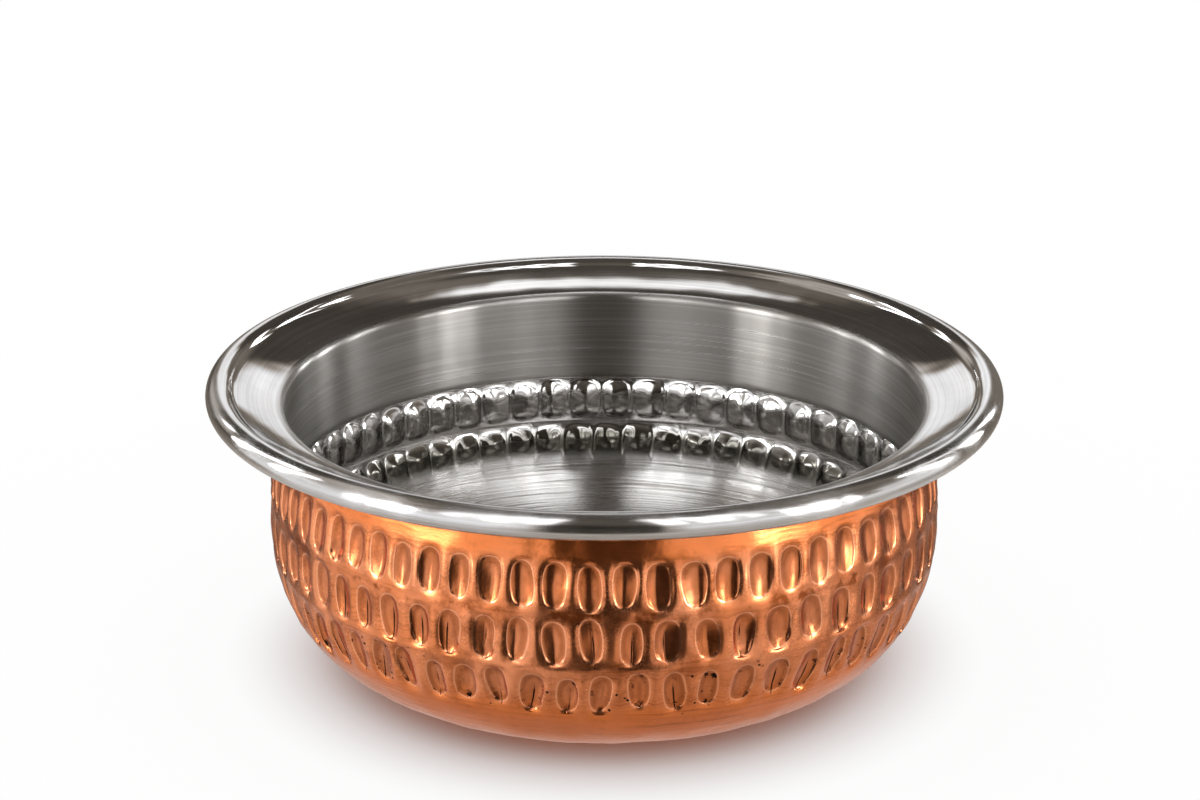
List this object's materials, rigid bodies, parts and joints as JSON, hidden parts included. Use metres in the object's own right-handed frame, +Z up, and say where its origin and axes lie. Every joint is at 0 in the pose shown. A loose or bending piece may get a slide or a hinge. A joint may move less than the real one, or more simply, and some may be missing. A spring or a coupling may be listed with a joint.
{
  "type": "serving bowl",
  "caption": "Round double-walled serving bowl: a hammered copper shell closed over a spun steel bowl with a wide flared rim and a rolled edge.",
  "frame": {"origin": "on the bowl's axis, in the plane that its flat base stands on", "axes": "+Z up along the bowl's axis; -Y towards the side that the picture shows; +X to the right"},
  "size_m": [0.1988, 0.1988, 0.075],
  "materials": {
    "hammered_copper": "polished copper with three rows of oval hammer marks, brushed round the bowl and tarnished in the grooves",
    "spun_steel": "spun stainless steel, nearly a mirror on the rim, brushed round the inside, with the hammer marks showing through low down"
  },
  "bodies": {
    "root": {"copper_outer_shell": "hammered_copper", "steel_inner_bowl": "spun_steel"}
  },
  "joints": []
}
